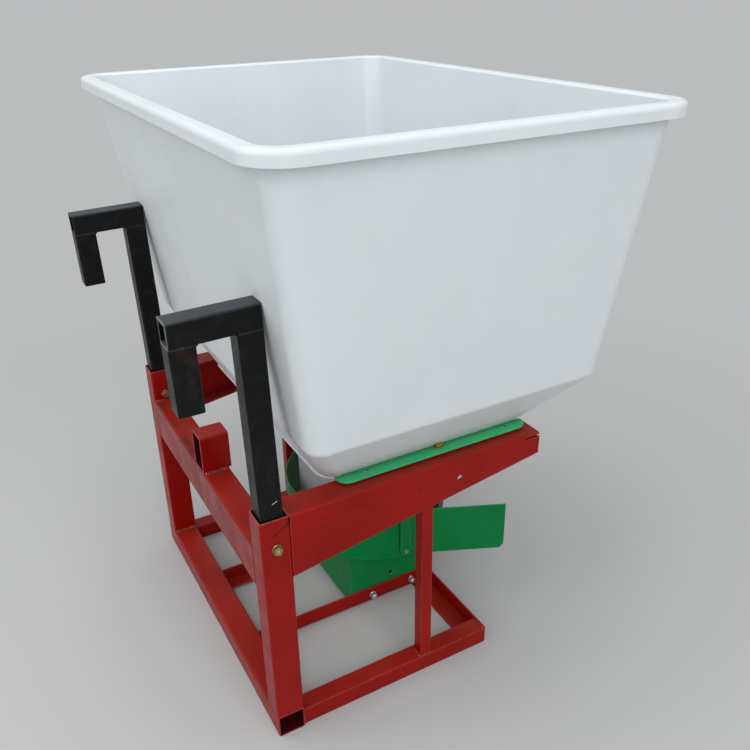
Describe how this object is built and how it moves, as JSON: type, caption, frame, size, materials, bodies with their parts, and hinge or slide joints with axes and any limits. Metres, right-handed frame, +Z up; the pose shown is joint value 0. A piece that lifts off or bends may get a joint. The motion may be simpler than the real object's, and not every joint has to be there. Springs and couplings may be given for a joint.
{
  "type": "hook-on fertilizer spreader",
  "caption": "Hook-on fertilizer spreader: tapered open plastic hopper on a welded tube frame with hanging hooks, and a shrouded spinner disc with flared deflector wings below.",
  "frame": {"origin": "middle of the bounding box at floor level, under the frame", "axes": "+Z up, +Y to the rear, away from the hooks, +X to the machine's left side seen from behind"},
  "size_m": [1.228, 0.9999, 1.353],
  "materials": {
    "red_paint": "gloss",
    "green_paint": "gloss",
    "black_paint": "satin",
    "hopper_plastic": "matte",
    "drum_grey": "satin",
    "zinc_steel": "satin",
    "disc_steel": "brushed",
    "motor_iron": "matte"
  },
  "bodies": {
    "frame": {"front_beam": "red_paint", "front_post_left": "red_paint", "front_post_right": "red_paint", "front_crossbar": "red_paint", "hitch_socket": "red_paint", "side_arm_left": "red_paint", "side_arm_right": "red_paint", "rear_cross": "red_paint", "bottom_rail_left": "red_paint", "bottom_rail_right": "red_paint", "rear_angle": "red_paint", "upright_left": "red_paint", "upright_right": "red_paint", "bearer_left": "red_paint", "bearer_right": "red_paint", "hook_left": "black_paint", "hook_right": "black_paint", "hook_bolt_left": "zinc_steel", "hook_bolt_right": "zinc_steel", "hopper": "hopper_plastic", "hopper_strip_left": "green_paint", "hopper_strip_right": "green_paint", "outlet_drum": "drum_grey", "drum_floor": "drum_grey", "gate_guide_left": "zinc_steel", "gate_guide_right": "zinc_steel", "shroud": "green_paint", "deflector_left": "green_paint", "deflector_right": "green_paint", "shroud_strap_left": "green_paint", "shroud_strap_right": "green_paint", "drive_housing": "green_paint", "drive_motor": "motor_iron"},
    "spinner": {"spinner_shaft": "zinc_steel", "spinner_disc": "disc_steel", "vane_1": "disc_steel", "vane_2": "disc_steel", "vane_3": "disc_steel", "vane_4": "disc_steel", "agitator": "zinc_steel"},
    "gate": {"gate_plate": "zinc_steel"}
  },
  "joints": [
    {"name": "spinner_spin", "type": "hinge", "parent": "frame", "child": "spinner", "pos_m": [0, 0.11, 0.232], "axis": [0, 0, 1], "continuous": true},
    {"name": "gate_slide", "type": "slide", "parent": "frame", "child": "gate", "axis": [0, 1, 0], "range_m": [0, 0.08]}
  ]
}
